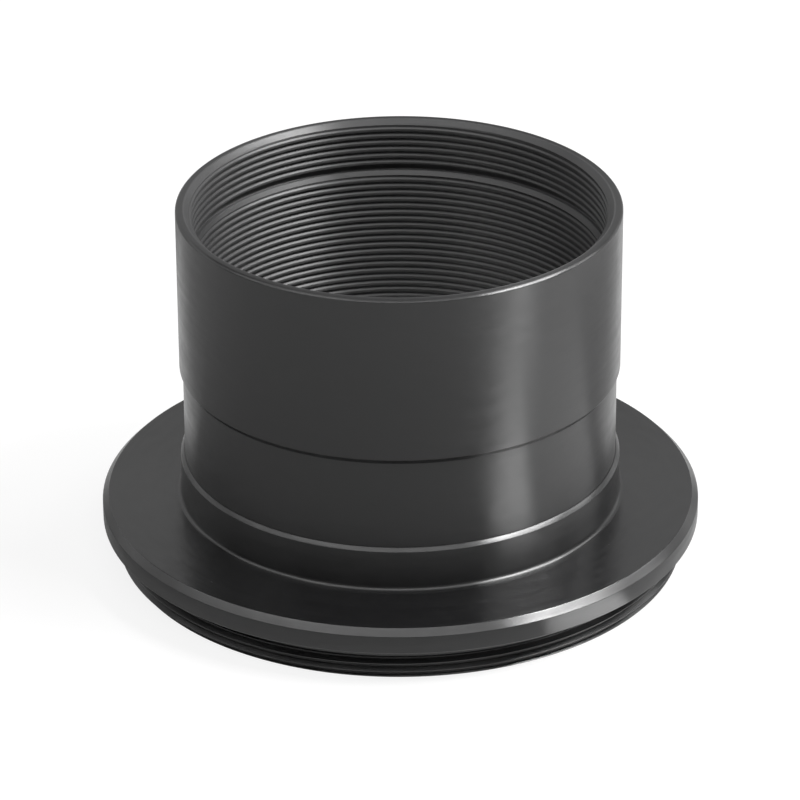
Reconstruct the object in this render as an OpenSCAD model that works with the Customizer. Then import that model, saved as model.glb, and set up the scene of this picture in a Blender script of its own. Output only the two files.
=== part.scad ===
// Focuser adapter: one piece turned from aluminium bar and anodised black.
// It stands on the end of its threaded spigot, with the push-fit barrel up.
// The origin is on the axis of turning, in the plane of the spigot's end.
// Threads are shown plain: a male thread by its crest diameter, a female one by its crests' bore.
// Every height is counted up from the spigot's end, and every radius out from the axis.

/* [Barrel] */
// Diameter of the push-fit barrel, the nominal two-inch size
barrel_d = 50.8; // [36:0.1:58]
// Length of the full-diameter barrel, from the locking groove up to the mouth
barrel_h = 19.6; // [8:0.1:60]
// Chamfer on the outer edge of the mouth
rim_chamfer = 0.25; // [0.05:0.05:0.6]

/* [Locking groove] */
// Width of the groove that a clamping ring closes on
groove_w = 11; // [4:0.1:30]
// Depth of the groove below the barrel's surface
groove_depth = 0.4; // [0.1:0.05:1.2]

/* [Collar] */
// Height of the collar between the flange and the locking groove
collar_h = 5.2; // [1.5:0.1:20]
// How far the collar stands out beyond the barrel, all round
collar_rise = 0.1; // [0.05:0.05:4]
// Chamfer on the collar's upper edge
collar_chamfer = 0.4; // [0.1:0.05:0.5]
// Fillet at the root of the collar, on the flange's top face
root_fillet = 0.5; // [0.1:0.05:1.2]

/* [Flange] */
// Thickness of the flange
flange_t = 3; // [1.2:0.1:12]
// How far the flange stands out beyond the spigot's thread, all round
flange_overhang = 1.75; // [0.5:0.05:12]
// Chamfer on the flange's upper edge
flange_top_chamfer = 0.75; // [0.1:0.05:0.9]
// Chamfer on the flange's lower edge
flange_low_chamfer = 0.2; // [0.05:0.05:0.25]

/* [Threaded spigot] */
// Crest diameter of the spigot's male thread
spigot_d = 66; // [62:0.1:110]
// Length of the spigot below the flange
spigot_h = 4; // [2.6:0.1:20]
// Chamfer at the start of the male thread
spigot_chamfer = 0.3; // [0.1:0.05:0.8]
// Width of the undercut between the male thread and the flange
undercut_w = 1.6; // [1:0.1:3]
// Depth of that undercut below the thread's crests
undercut_depth = 0.7; // [0.2:0.05:1.3]
// How far outside the thread's crests the flange's flat seat starts
seat_gap = 0.1; // [0.05:0.05:0.3]

/* [Mouth] */
// Wall of the barrel outside the mouth thread's crests
mouth_wall = 1.8; // [1.6:0.05:5]
// Depth of the mouth thread, from the mouth to its relief
thread_depth = 5.5; // [2:0.1:14]
// Lead-in chamfer of the mouth thread
lead_in = 0.8; // [0.1:0.05:1.2]
// Width of the relief below the mouth thread
relief_w = 0.9; // [0.4:0.05:3]
// Depth of the relief beyond the mouth thread's crests
relief_depth = 0.6; // [0.1:0.05:1]

/* [Bore] */
// How far the ledge below the relief stands in from the mouth thread's crests
ledge_w = 0.3; // [0.05:0.05:6]
// Chamfer on the ledge
ledge_chamfer = 0.5; // [0.1:0.05:0.85]
// Chamfer where the bore leaves the spigot's end
exit_chamfer = 0.8; // [0.1:0.05:3]

/* [Hidden] */

// Nose radius that the turning tool leaves in the inside corners of the grooves
nose_r = 0.15;

// Heights, each one standing on the one before
flange_z = spigot_h;
flange_top = flange_z + flange_t;
collar_top = flange_top + collar_h;
barrel_z = collar_top + groove_w;
mouth_z = barrel_z + barrel_h;
relief_z = mouth_z - thread_depth;
ledge_z = relief_z - relief_w;
undercut_z = flange_z - undercut_w;

// Radii of the outside
barrel_r = barrel_d / 2;
groove_r = barrel_r - groove_depth;
collar_r = barrel_r + collar_rise;
spigot_r = spigot_d / 2;
undercut_r = spigot_r - undercut_depth;
flange_r = spigot_r + flange_overhang;
// The undercut's upper corner is rounded out to the seat, as far as its width leaves room
seat_fillet = min(undercut_depth + seat_gap, undercut_w - nose_r);

// Radii of the inside
mouth_r = barrel_r - mouth_wall;
relief_r = mouth_r + relief_depth;
bore_r = mouth_r - ledge_w;

// Steps in a rounded corner of the section, and facets round the axis
arc_steps = 4;
round_steps = 120;

// A rounded corner: points on the arc from angle a to angle b about a centre
function corner(centre, r, a, b) =
    [for (i = [0 : arc_steps])
        let (t = a + (b - a) * i / arc_steps)
        centre + r * [cos(t), sin(t)]];

// The threaded spigot, from its end up to the undercut below the flange
function spigot_side() = concat(
    [
        [spigot_r - spigot_chamfer, 0],
        [spigot_r, spigot_chamfer],
        [spigot_r, undercut_z],
    ],
    corner([undercut_r + nose_r, undercut_z + nose_r], nose_r, 270, 180),
    corner([undercut_r + seat_fillet, flange_z - seat_fillet], seat_fillet, 180, 90)
);

// The flange's rim, from its underside round to its top face
function flange_side() = [
    [flange_r - flange_low_chamfer, flange_z],
    [flange_r, flange_z + flange_low_chamfer],
    [flange_r, flange_top - flange_top_chamfer],
    [flange_r - flange_top_chamfer, flange_top],
];

// The collar, from the fillet on the flange up to the floor of the locking groove
function collar_side() = concat(
    corner([collar_r + root_fillet, flange_top + root_fillet], root_fillet, 270, 180),
    [
        [collar_r, collar_top - collar_chamfer],
        [collar_r - collar_chamfer, collar_top],
        [groove_r, collar_top],
    ]
);

// The barrel, from the square upper shoulder of the groove to the rim
function barrel_side() = concat(
    corner([groove_r + nose_r, barrel_z - nose_r], nose_r, 180, 90),
    [
        [barrel_r, barrel_z],
        [barrel_r, mouth_z - rim_chamfer],
        [barrel_r - rim_chamfer, mouth_z],
    ]
);

// The mouth, down its lead-in and thread and round the relief to the ledge
function mouth_side() = concat(
    [
        [mouth_r + lead_in, mouth_z],
        [mouth_r, mouth_z - lead_in],
        [mouth_r, relief_z],
    ],
    corner([relief_r - nose_r, relief_z - nose_r], nose_r, 90, 0),
    corner([relief_r - nose_r, ledge_z + nose_r], nose_r, 0, -90)
);

// The bore, from the ledge down to the spigot's end
function bore_side() = [
    [bore_r + ledge_chamfer, ledge_z],
    [bore_r, ledge_z - ledge_chamfer],
    [bore_r, exit_chamfer],
    [bore_r + exit_chamfer, 0],
];

// Half of the section, up the outside and down the inside
section = concat(
    spigot_side(), flange_side(), collar_side(),
    barrel_side(), mouth_side(), bore_side()
);

module adapter_body() {
    color([0.09, 0.09, 0.095])
        rotate_extrude($fn = round_steps)
            polygon(section);
}

adapter_body();
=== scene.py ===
import math

import bmesh
import bpy
import numpy as np
from mathutils import Matrix, Vector


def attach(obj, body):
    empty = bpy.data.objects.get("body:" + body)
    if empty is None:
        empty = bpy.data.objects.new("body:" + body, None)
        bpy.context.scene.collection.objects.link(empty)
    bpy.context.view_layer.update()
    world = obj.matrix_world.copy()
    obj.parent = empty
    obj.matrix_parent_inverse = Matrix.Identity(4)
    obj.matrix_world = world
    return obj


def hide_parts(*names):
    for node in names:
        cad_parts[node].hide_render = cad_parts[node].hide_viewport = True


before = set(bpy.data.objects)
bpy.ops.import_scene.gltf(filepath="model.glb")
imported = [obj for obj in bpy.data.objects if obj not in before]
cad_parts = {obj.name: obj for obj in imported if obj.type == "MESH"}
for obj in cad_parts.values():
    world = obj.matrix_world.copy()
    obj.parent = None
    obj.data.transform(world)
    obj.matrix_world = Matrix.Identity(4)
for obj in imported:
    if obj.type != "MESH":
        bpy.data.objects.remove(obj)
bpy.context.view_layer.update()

MM = 0.001

# ---------------------------------------------------------------- camera
# Fitted to the outlines in the photograph: position and aim in millimetres.
CAMERA_AT = (0.0, -465.02, 254.70)
CAMERA_AIM = (0.0, 0.0, 17.885)
CAMERA_ROLL = -0.272
CAMERA_LENS, CAMERA_SENSOR = 202.84, 36
CAMERA_NEAR, CAMERA_FAR = 0.01, 20

camera = bpy.data.objects.new("camera", bpy.data.cameras.new("camera"))
bpy.context.scene.collection.objects.link(camera)
bpy.context.scene.camera = camera
camera.data.lens = CAMERA_LENS
camera.data.sensor_width = CAMERA_SENSOR
camera.data.clip_start, camera.data.clip_end = CAMERA_NEAR, CAMERA_FAR
camera.location = Vector(CAMERA_AT) * MM
aim = Vector(CAMERA_AIM) * MM - camera.location
roll = Matrix.Rotation(math.radians(CAMERA_ROLL), 3, "Z").to_quaternion()
camera.rotation_mode = "QUATERNION"
camera.rotation_quaternion = aim.to_track_quat("-Z", "Y") @ roll

# ---------------------------------------------------------------- the turned section
# Radii and heights in millimetres, as the CAD has them. Each _ROOT is the foot of a thread.
SPIGOT_R, SPIGOT_ROOT, SPIGOT_CHAMFER = 33.0, 32.39, 0.3
UNDERCUT_R, UNDERCUT_Z, SEAT_R, SEAT_Z = 32.3, 2.4, 33.1, 4.0
FLANGE_R, FLANGE_Z, FLANGE_LOW, FLANGE_CHAMFER = 34.75, 7.0, 0.2, 0.75
COLLAR_R, COLLAR_Z, COLLAR_CHAMFER, ROOT_FILLET = 25.5, 12.2, 0.4, 0.5
GROOVE_R, BARREL_R, BARREL_Z = 25.0, 25.4, 23.2
MOUTH_R, MOUTH_ROOT, MOUTH_Z, LEAD_IN = 23.6, 23.83, 42.8, 0.8
RELIEF_R, RELIEF_Z, LEDGE_Z = 24.2, 37.3, 36.4
BORE_R, BORE_ROOT, BORE_THREAD_END = 23.3, 23.54, 4.6
RIM_CHAMFER, LEDGE_CHAMFER, EXIT_CHAMFER, NOSE = 0.25, 0.5, 0.8, 0.15

# What the CAD leaves to this script, in millimetres
EDGE_BREAK, LEDGE_BREAK, RIM_BREAK = 0.045, 0.03, 0.09    # small rounds on sharp edges
SHOULDER_DROP, SHOULDER_RISE = 0.5, 0.1    # the barrel's lower shoulder leans in by this much

# Straights between the section's arcs and its broken corners
SHORT, STRAIGHT, GROOVE_FOOT, EXIT_FLAT = 0.05, 0.1, 0.02, 0.2

# Threads: the pitch, the shares of it that are flat at crest and root, and where it starts
MOUTH_THREAD = (0.847, 0.33, 0.33, 0.62)
BORE_THREAD = (0.847, 0.32, 0.32, 0.2)
SPIGOT_THREAD = (1.0, 0.125, 0.2, 0.0)
CREST_ROUND, FLANK_ROUND = 0.2, 0.05    # shares of the crest's flat and of the depth

COLUMNS = 192       # columns of faces round the axis
TURN = np.arange(COLUMNS + 1) / COLUMNS
MERGE, SHORTEST_EDGE = 2e-7, 1e-7    # metres
SHARP_ANGLE = 20    # degrees between faces above which an edge stays sharp


def arc(centre, radius, start, end, steps):
    """Points on an arc of the section, angles in degrees."""
    turn = np.radians(np.linspace(start, end, steps + 1))
    return [(centre[0] + radius * math.cos(t), centre[1] + radius * math.sin(t)) for t in turn]


def broken(before, point, after, size=EDGE_BREAK):
    """A sharp corner of the section with its edge broken to a small round."""
    p, a, b = (np.array(v, float) for v in (point, before, after))
    to_a, to_b = (a - p) / np.linalg.norm(a - p), (b - p) / np.linalg.norm(b - p)
    made = []
    for t in (0.0, 0.33, 0.67, 1.0):
        q = (1 - t) ** 2 * (p + to_a * size) + 2 * t * (1 - t) * p + t ** 2 * (p + to_b * size)
        made.append((float(q[0]), float(q[1])))
    return made


def corners(points):
    """A run of corners, each one but the ends broken."""
    made = [points[0]]
    for before, point, after in zip(points, points[1:], points[2:]):
        made += broken(before, point, after)
    return made + [points[-1]]


def plain_rows(points):
    """Rows of the mesh from points of the section."""
    return [(np.full(COLUMNS + 1, r), np.full(COLUMNS + 1, z)) for r, z in points]


def thread_rows(low, high, thread, crest, root, limit=None):
    """Rows of a right-hand helical thread between two heights, from low to high.

    Each row follows the helix, so crests and roots stay crisp. Past an end the row lies on
    the end's plane, where its points merge. limit(r, z) is the surface that cuts the crests."""
    pitch, crest_flat, root_flat, phase = thread
    flank = (1 - crest_flat - root_flat) / 2
    deep = root - crest
    rounded, foot = crest + FLANK_ROUND * deep, crest + (1 - FLANK_ROUND) * deep
    shares = [
        0.0, crest_flat * CREST_ROUND, crest_flat * (1 - CREST_ROUND), crest_flat,
        crest_flat + flank, crest_flat + flank + root_flat / 2, 1 - flank,
    ]
    radii = [rounded, crest, crest, rounded, foot, root, foot]

    def row(z):
        share = np.mod((z - phase) / pitch - TURN, 1.0)
        r = np.interp(share, shares + [1.0], radii + radii[:1])
        return (r if limit is None else limit(r, z)), z

    first = math.floor((low - phase) / pitch) - 2
    last = math.ceil((high - phase) / pitch) + 1
    rows = [row(np.full(COLUMNS + 1, low))]
    for n in range(first, last + 1):
        for share in shares:
            z = phase + pitch * (n + share + TURN)
            if (z > low).any() and (z < high).any():
                rows.append(row(np.clip(z, low, high)))
    rows.append(row(np.full(COLUMNS + 1, high)))
    return rows


def spigot_limit(r, z):
    """The chamfer at the spigot's end."""
    return np.minimum(r, SPIGOT_R - SPIGOT_CHAMFER + np.minimum(z, SPIGOT_CHAMFER))


def mouth_limit(r, z):
    """The mouth's lead-in."""
    return np.maximum(r, MOUTH_R + np.maximum(z - (MOUTH_Z - LEAD_IN), 0))


outside = plain_rows(
    arc((UNDERCUT_R + NOSE, UNDERCUT_Z + NOSE), NOSE, 270, 180, 3)
    + arc((SEAT_R, SEAT_Z - (SEAT_R - UNDERCUT_R)), SEAT_R - UNDERCUT_R, 180, 90, 5)
    + corners([
        (SEAT_R + SHORT, SEAT_Z),
        (FLANGE_R - FLANGE_LOW, SEAT_Z),
        (FLANGE_R, SEAT_Z + FLANGE_LOW),
        (FLANGE_R, FLANGE_Z - FLANGE_CHAMFER),
        (FLANGE_R - FLANGE_CHAMFER, FLANGE_Z),
        (COLLAR_R + ROOT_FILLET + SHORT, FLANGE_Z),
    ])
    + arc((COLLAR_R + ROOT_FILLET, FLANGE_Z + ROOT_FILLET), ROOT_FILLET, 270, 180, 6)
    + corners([
        (COLLAR_R, FLANGE_Z + ROOT_FILLET + STRAIGHT),
        (COLLAR_R, COLLAR_Z - COLLAR_CHAMFER),
        (COLLAR_R - COLLAR_CHAMFER, COLLAR_Z),
        (GROOVE_R + GROOVE_FOOT, COLLAR_Z),
    ])
    + [(GROOVE_R, COLLAR_Z)]
    + corners([
        (GROOVE_R, COLLAR_Z + STRAIGHT),
        (GROOVE_R, BARREL_Z - SHOULDER_DROP),
        (BARREL_R, BARREL_Z + SHOULDER_RISE),
        (BARREL_R, MOUTH_Z - RIM_CHAMFER - STRAIGHT),
    ])
    + broken((BARREL_R, BARREL_Z), (BARREL_R, MOUTH_Z - RIM_CHAMFER),
             (BARREL_R - RIM_CHAMFER, MOUTH_Z), RIM_BREAK)
    + broken((BARREL_R, MOUTH_Z - RIM_CHAMFER), (BARREL_R - RIM_CHAMFER, MOUTH_Z),
             (MOUTH_R, MOUTH_Z), 2 * RIM_BREAK)
    + broken((BARREL_R, MOUTH_Z), (MOUTH_R + LEAD_IN, MOUTH_Z),
             (MOUTH_R, MOUTH_Z - LEAD_IN), RIM_BREAK)
)
# The mouth's rows start where the round on the rim's inner edge ends, on the lead-in
MOUTH_TOP = MOUTH_Z - RIM_BREAK * math.sqrt(0.5)
mouth = thread_rows(RELIEF_Z, MOUTH_TOP, MOUTH_THREAD, MOUTH_R, MOUTH_ROOT, mouth_limit)[::-1]
relief = plain_rows(
    arc((RELIEF_R - NOSE, RELIEF_Z - NOSE), NOSE, 90, 0, 3)
    + arc((RELIEF_R - NOSE, LEDGE_Z + NOSE), NOSE, 0, -90, 3)
    + broken((RELIEF_R, LEDGE_Z), (BORE_R + LEDGE_CHAMFER, LEDGE_Z),
             (BORE_R, LEDGE_Z - LEDGE_CHAMFER), LEDGE_BREAK)
)
bore = thread_rows(
    BORE_THREAD_END, LEDGE_Z - LEDGE_CHAMFER, BORE_THREAD, BORE_R, BORE_ROOT
)[::-1]
foot = plain_rows(corners([
    (BORE_R, BORE_THREAD_END),
    (BORE_R, EXIT_CHAMFER),
    (BORE_R + EXIT_CHAMFER, 0.0),
    (BORE_R + EXIT_CHAMFER + EXIT_FLAT, 0.0),
]))
spigot = thread_rows(0.0, UNDERCUT_Z, SPIGOT_THREAD, SPIGOT_R, SPIGOT_ROOT, spigot_limit)


def lathe(name, rows):
    """One closed mesh from rows that run round the axis. Coincident points are merged."""
    co = np.empty((len(rows), COLUMNS + 1, 3))
    for n, (r, z) in enumerate(rows):
        co[n] = np.stack([r * np.cos(TURN * math.tau), r * np.sin(TURN * math.tau), z], -1)
    co = (co * MM).reshape(-1, 3)
    wide, faces = COLUMNS + 1, []
    for n in range(len(rows)):
        m = (n + 1) % len(rows)
        for c in range(COLUMNS):
            faces.append((n * wide + c, n * wide + c + 1, m * wide + c + 1, m * wide + c))
    mesh = bpy.data.meshes.new(name)
    mesh.from_pydata([tuple(v) for v in co], [], faces)
    bm = bmesh.new()
    bm.from_mesh(mesh)
    bmesh.ops.remove_doubles(bm, verts=bm.verts, dist=MERGE)
    bmesh.ops.dissolve_degenerate(bm, edges=bm.edges, dist=SHORTEST_EDGE)
    bm.to_mesh(mesh)
    bm.free()
    made = bpy.data.objects.new(name, mesh)
    bpy.context.scene.collection.objects.link(made)
    return made


body = lathe("turned_body", spigot + outside + mouth + relief + bore + foot)
for polygon in body.data.polygons:
    polygon.use_smooth = True
body.data.set_sharp_from_angle(angle=math.radians(SHARP_ANGLE))
weighted = body.modifiers.new("weighted", "WEIGHTED_NORMAL")
weighted.mode = "FACE_AREA"
weighted.keep_sharp = True

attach(body, "root")
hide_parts("adapter_body")


# ---------------------------------------------------------------- nodes
def math_node(tree, operation, *values):
    """A math node fed by links and numbers."""
    node = tree.nodes.new("ShaderNodeMath")
    node.operation = operation
    for socket, value in zip(node.inputs, values):
        if isinstance(value, (int, float)):
            socket.default_value = value
        else:
            tree.links.new(value, socket)
    return node.outputs[0]


def ramp(tree, value, low, high, out_low=0.0, out_high=1.0, step="SMOOTHSTEP"):
    """A value mapped from one pair of limits to another, as a smooth step unless told."""
    node = tree.nodes.new("ShaderNodeMapRange")
    node.interpolation_type = step
    limits = {"From Min": low, "From Max": high, "To Min": out_low, "To Max": out_high}
    for name, number in limits.items():
        node.inputs[name].default_value = number
    tree.links.new(value, node.inputs["Value"])
    return node.outputs["Result"]


# ---------------------------------------------------------------- black anodising
# Turning marks: how fast they change round the axis, how fast across it, and their detail
FINE_MARKS, COARSE_MARKS, WAVES = (2.5, 9000.0, 2.0), (1.3, 1600.0, 3.0), (7.0, 700.0, 1.0)
MARKS_DEEP, WAVES_DEEP, BUMP_STRENGTH = 0.00003, 0.00014, 0.3    # depths in metres
BLOTCH_SCALE, BLOTCH_DETAIL = 900.0, 4.0
MAIN_SHARE, MINOR_SHARE = 0.6, 0.4    # how two noises are mixed
TONE_LOW, TONE_HIGH = 0.3, 0.7    # the stretch of the mixed noise that carries the tone

# The colours that the tone runs between, outside and inside, and the radii where one gives way. The
# paler inside colours are painted light in the threads and the bore
OUTSIDE_SHADES = ((0.0044, 0.0044, 0.0047), (0.0068, 0.0068, 0.0073))
INSIDE_PAINTED_LIGHT_SHADES = ((0.0350, 0.0350, 0.0356), (0.0520, 0.0520, 0.0530))
OUTSIDE_FROM, INSIDE_FROM = 0.02456, 0.02450

ROUGH_LOW, ROUGH_HIGH = 0.28, 0.38
ROUGHER_INSIDE, SMOOTHER_FLANGE, FLANGE_FACE_BAND = 0.13, -0.10, 0.00004
ANODISED_IOR, BRUSHED, BRUSHED_ROUND = 1.85, 0.78, 0.25


def anodised():
    """Satin black anodising over turning marks, duller inside the tube, where a paler colour is
    painted light in the threads.
    """
    material = bpy.data.materials.new("black_anodised")
    material.use_nodes = True
    tree = material.node_tree
    shader = tree.nodes["Principled BSDF"]
    place = tree.nodes.new("ShaderNodeTexCoord")
    split = tree.nodes.new("ShaderNodeSeparateXYZ")
    tree.links.new(place.outputs["Object"], split.inputs[0])
    x, y, z = split.outputs

    def calc(operation, *values):
        return math_node(tree, operation, *values)

    def mixed(main, minor):
        return calc("ADD", calc("MULTIPLY", main, MAIN_SHARE), calc("MULTIPLY", minor, MINOR_SHARE))

    radius = calc("SQRT", calc("ADD", calc("MULTIPLY", x, x), calc("MULTIPLY", y, y)))

    def streaks(round_scale, across_scale, detail):
        """Noise drawn out round the axis: slow along the turning, fast across it."""
        vector = tree.nodes.new("ShaderNodeCombineXYZ")
        for socket, flat in zip(vector.inputs, (x, y)):
            tree.links.new(calc("MULTIPLY", calc("DIVIDE", flat, radius), round_scale), socket)
        tree.links.new(calc("MULTIPLY", z, across_scale), vector.inputs[2])
        noise = tree.nodes.new("ShaderNodeTexNoise")
        noise.noise_dimensions = "4D"
        noise.inputs["Scale"].default_value = 1.0
        noise.inputs["Detail"].default_value = detail
        tree.links.new(vector.outputs[0], noise.inputs["Vector"])
        tree.links.new(calc("MULTIPLY", radius, across_scale), noise.inputs["W"])
        return noise.outputs["Fac"]

    def bump(height, deep, under=None):
        node = tree.nodes.new("ShaderNodeBump")
        node.inputs["Strength"].default_value = BUMP_STRENGTH
        node.inputs["Distance"].default_value = deep
        tree.links.new(height, node.inputs["Height"])
        if under is not None:
            tree.links.new(under, node.inputs["Normal"])
        return node.outputs["Normal"]

    coarse = streaks(*COARSE_MARKS)
    marks = bump(mixed(streaks(*FINE_MARKS), coarse), MARKS_DEEP)
    tree.links.new(bump(streaks(*WAVES), WAVES_DEEP, marks), shader.inputs["Normal"])

    blotch = tree.nodes.new("ShaderNodeTexNoise")
    blotch.inputs["Scale"].default_value = BLOTCH_SCALE
    blotch.inputs["Detail"].default_value = BLOTCH_DETAIL
    tree.links.new(place.outputs["Object"], blotch.inputs["Vector"])
    tone = mixed(coarse, blotch.outputs["Fac"])
    # inside the tube: the mask for the rougher finish and for the painted light of the paler inside
    # colour
    inside = ramp(tree, radius, OUTSIDE_FROM, INSIDE_FROM, step="LINEAR")

    mix = tree.nodes.new("ShaderNodeMix")
    mix.data_type = "RGBA"
    tree.links.new(inside, mix.inputs[0])
    for socket, colours in ((mix.inputs[6], OUTSIDE_SHADES), (mix.inputs[7], INSIDE_PAINTED_LIGHT_SHADES)):
        shades = tree.nodes.new("ShaderNodeValToRGB")
        elements = shades.color_ramp.elements
        for element, position, colour in zip(elements, (TONE_LOW, TONE_HIGH), colours):
            element.position = position
            element.color = (*colour, 1)
        tree.links.new(tone, shades.inputs["Fac"])
        tree.links.new(shades.outputs["Color"], socket)
    tree.links.new(mix.outputs[2], shader.inputs["Base Color"])

    rough = ramp(tree, tone, TONE_LOW, TONE_HIGH, ROUGH_LOW, ROUGH_HIGH, "LINEAR")
    duller = calc("MULTIPLY", inside, ROUGHER_INSIDE)
    on_flange = calc("COMPARE", z, FLANGE_Z * MM, FLANGE_FACE_BAND)
    faced = calc("MULTIPLY", on_flange, SMOOTHER_FLANGE)
    tree.links.new(calc("ADD", rough, calc("ADD", duller, faced)), shader.inputs["Roughness"])
    shader.inputs["Metallic"].default_value = 0.0
    shader.inputs["IOR"].default_value = ANODISED_IOR
    shader.inputs["Anisotropic"].default_value = BRUSHED
    shader.inputs["Anisotropic Rotation"].default_value = BRUSHED_ROUND
    tangent = tree.nodes.new("ShaderNodeTangent")
    tangent.direction_type = "RADIAL"
    tangent.axis = "Z"
    tree.links.new(tangent.outputs["Tangent"], shader.inputs["Tangent"])
    return material


body.data.materials.append(anodised())

# ---------------------------------------------------------------- floor
FLOOR_SIZE, FLOOR_Z = 3.0, -0.00002
# The floor's grey in reflections is painted light and shade: a painted pool of light close round
# the flange, darker further out, paler far off. Distances from the axis, and the tone on each side
# of them
FAR_PAINTED_SHADE_AND_LIGHT = (0.09, 0.22, 0.26, 0.72)
NEAR_PAINTED_LIGHT = (0.037, 0.0415, 0.55, 0.0)
PAPER, GLOW, GLOW_SHARE = 0.9, 1.04, 0.8


def floor_material():
    """Grey to the object's reflections, with painted light and shade in that grey by distance from
    the axis. White to the camera, where it keeps a soft shadow.
    """
    material = bpy.data.materials.new("floor_white")
    material.use_nodes = True
    tree = material.node_tree
    tree.nodes.clear()
    out = tree.nodes.new("ShaderNodeOutputMaterial")
    grey = tree.nodes.new("ShaderNodeBsdfDiffuse")
    place = tree.nodes.new("ShaderNodeTexCoord")
    away = tree.nodes.new("ShaderNodeVectorMath")
    away.operation = "LENGTH"
    tree.links.new(place.outputs["Object"], away.inputs[0])
    # painted light and shade: the floor's grey that the object reflects, set by distance from the
    # axis
    far, near = (ramp(tree, away.outputs["Value"], *limits) for limits in (FAR_PAINTED_SHADE_AND_LIGHT, NEAR_PAINTED_LIGHT))
    shade = math_node(tree, "ADD", far, near)
    tone = tree.nodes.new("ShaderNodeCombineColor")
    for socket in tone.inputs[:3]:
        tree.links.new(shade, socket)
    tree.links.new(tone.outputs[0], grey.inputs["Color"])
    paper = tree.nodes.new("ShaderNodeBsdfDiffuse")
    paper.inputs["Color"].default_value = (PAPER, PAPER, PAPER, 1)
    glow = tree.nodes.new("ShaderNodeEmission")
    glow.inputs["Color"].default_value = (1, 1, 1, 1)
    glow.inputs["Strength"].default_value = GLOW
    seen = tree.nodes.new("ShaderNodeMixShader")
    seen.inputs[0].default_value = GLOW_SHARE
    tree.links.new(paper.outputs[0], seen.inputs[1])
    tree.links.new(glow.outputs[0], seen.inputs[2])
    mix_by_camera(tree, grey.outputs[0], seen.outputs[0], out)
    return material


def mix_by_camera(tree, to_the_object, to_the_camera, out):
    """One shader for what the object sees and another for what the camera sees."""
    path = tree.nodes.new("ShaderNodeLightPath")
    mix = tree.nodes.new("ShaderNodeMixShader")
    tree.links.new(path.outputs["Is Camera Ray"], mix.inputs[0])
    tree.links.new(to_the_object, mix.inputs[1])
    tree.links.new(to_the_camera, mix.inputs[2])
    tree.links.new(mix.outputs[0], out.inputs["Surface"])


def plane(name, size, place):
    mesh = bpy.data.meshes.new(name)
    h = size / 2
    mesh.from_pydata([(-h, -h, 0), (h, -h, 0), (h, h, 0), (-h, h, 0)], [], [(0, 1, 2, 3)])
    made = bpy.data.objects.new(name, mesh)
    made.location = place
    bpy.context.scene.collection.objects.link(made)
    return made


floor = plane("floor", FLOOR_SIZE, (0, 0, FLOOR_Z))
floor.data.materials.append(floor_material())

# ---------------------------------------------------------------- lamps
# Azimuth 0 is the camera's side, and 90 is the right. Lengths in metres, power in watts.
LAMP_AIM_Z, LAMP_AWAY, PAPER_Z = 0.02, 1.0, 0.0005
# Name, azimuth, elevation, width, height, power
SOFT_BOXES = (
    ("key", 73, 53.5, 0.30, 0.16, 6.2),
    ("key_wide", 93, 46, 0.40, 0.16, 3.8),
    ("key_side", 115, 32, 0.36, 0.22, 1.1),
    ("key_back", 121, 55, 0.20, 0.26, 2.0),
)
# Name, x, y, azimuth, width, length, power
LIT_PAPERS = (
    ("glare", 0.2002, -0.1180, 62, 0.034, 0.24, 0.092),
    ("glare_near", 0.0420, -0.0375, 60, 0.015, 0.040, 0.0047),
    ("glare_beside", 0.0630, -0.0140, 92, 0.040, 0.036, 0.0033),
    ("bounce_left", -0.0460, 0.0480, -158, 0.028, 0.060, 0.0033),
    ("bounce_right", 0.0440, 0.0560, 159, 0.036, 0.080, 0.0068),
    ("glare_wide", 0.26, -0.02, 90, 0.13, 0.28, 0.068),
)


def area_lamp(name, width, height, power):
    """An area lamp that only the object sees."""
    data = bpy.data.lights.new(name, "AREA")
    data.shape = "RECTANGLE"
    data.size, data.size_y = width, height
    data.energy = power
    made = bpy.data.objects.new(name, data)
    made.visible_camera = False
    bpy.context.scene.collection.objects.link(made)
    return made


def soft_box(name, azimuth, elevation, width, height, power):
    """A studio lamp aimed at the object."""
    made = area_lamp(name, width, height, power)
    a, e = math.radians(azimuth), math.radians(elevation)
    way = Vector((math.cos(e) * math.sin(a), -math.cos(e) * math.cos(a), math.sin(e)))
    made.location = Vector((0, 0, LAMP_AIM_Z)) + way * LAMP_AWAY
    made.rotation_mode = "QUATERNION"
    made.rotation_quaternion = (-way).to_track_quat("-Z", "Y")


def lit_paper(name, x, y, azimuth, width, length, power):
    """A patch of the paper that the key lights far more brightly than the rest."""
    made = area_lamp(name, width, length, power)
    made.location = (x, y, PAPER_Z)
    made.rotation_euler = (math.pi, 0, math.radians(azimuth))


for lamp in SOFT_BOXES:
    soft_box(*lamp)
for lamp in LIT_PAPERS:
    lit_paper(*lamp)

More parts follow.
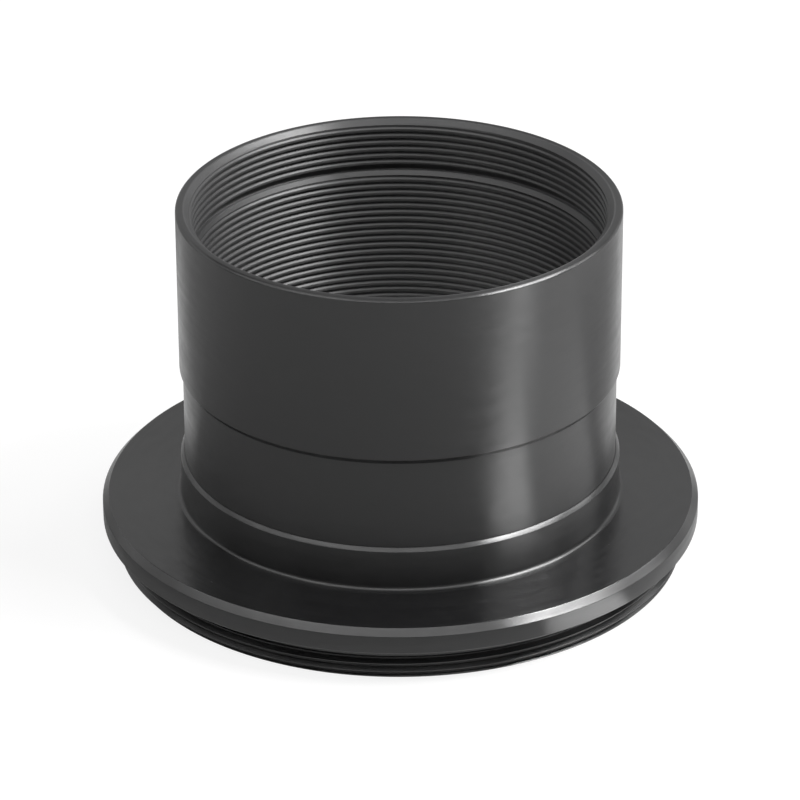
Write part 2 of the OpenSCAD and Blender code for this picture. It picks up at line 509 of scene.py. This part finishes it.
# ---------------------------------------------------------------- world
# Patches of light round the object: left, right, low, high and softness in degrees, and level.
# Their sides are counted from the camera's side, or from straight behind the object.
FRONT_PATCHES = (
    (-78, 44, 50, 65, 3, 4.36),
    (-112, -62, 35, 51, 4, 2.4),
    (-138, -100, 12, 34, 5, 1.03),
)
BEHIND_PATCHES = (
    (-42, 42, 11, 38, 6, 0.6),
    (38, 62, 2, 20, 4, 1.1),
    (-70, 70, 56, 80, 5, 0.9),
    (12, 45, -5, 12, 5, 0.38),
    (-45, -12, -5, 12, 5, 0.38),
)
ZENITH_FROM, ZENITH_TO, ZENITH_LEVEL, AMBIENT = 0.88, 0.95, 0.12, 0.03


def patch(tree, azimuth, height, left, right, low, high, soft, level):
    """A soft-edged patch of the world, its edges in degrees."""
    low, high = (math.sin(math.radians(v)) for v in (low, high))
    lean = math.sin(math.radians(soft))
    made = ramp(tree, height, low - lean, low + lean)
    for step in (
        ramp(tree, height, high - lean, high + lean, 1.0, 0.0),
        ramp(tree, azimuth, left - soft, left + soft),
        ramp(tree, azimuth, right - soft, right + soft, 1.0, 0.0),
    ):
        made = math_node(tree, "MULTIPLY", made, step)
    return math_node(tree, "MULTIPLY", made, level)


def studio_world():
    """White to the camera. To the object: panels in front and at the left, and one behind."""
    world = bpy.data.worlds.new("studio")
    bpy.context.scene.world = world
    world.use_nodes = True
    tree = world.node_tree
    tree.nodes.clear()
    out = tree.nodes.new("ShaderNodeOutputWorld")
    surround = tree.nodes.new("ShaderNodeBackground")
    white = tree.nodes.new("ShaderNodeBackground")
    white.inputs["Color"].default_value = (1, 1, 1, 1)
    white.inputs["Strength"].default_value = 1.0
    way = tree.nodes.new("ShaderNodeTexCoord")
    split = tree.nodes.new("ShaderNodeSeparateXYZ")
    tree.links.new(way.outputs["Generated"], split.inputs[0])
    x, y, z = split.outputs
    towards = math_node(tree, "MULTIPLY", y, -1.0)
    front = math_node(tree, "DEGREES", math_node(tree, "ARCTAN2", x, towards))
    behind = math_node(tree, "DEGREES", math_node(tree, "ARCTAN2", x, y))
    patches = [patch(tree, front, z, *edges) for edges in FRONT_PATCHES]
    patches += [patch(tree, behind, z, *edges) for edges in BEHIND_PATCHES]
    zenith = ramp(tree, z, ZENITH_FROM, ZENITH_TO)
    patches.append(math_node(tree, "MULTIPLY", zenith, ZENITH_LEVEL))
    level = patches[0]
    for more in (*patches[1:], AMBIENT):
        level = math_node(tree, "ADD", level, more)
    tree.links.new(level, surround.inputs["Strength"])
    mix_by_camera(tree, surround.outputs[0], white.outputs[0], out)


studio_world()

bpy.context.scene.view_settings.view_transform = "Standard"
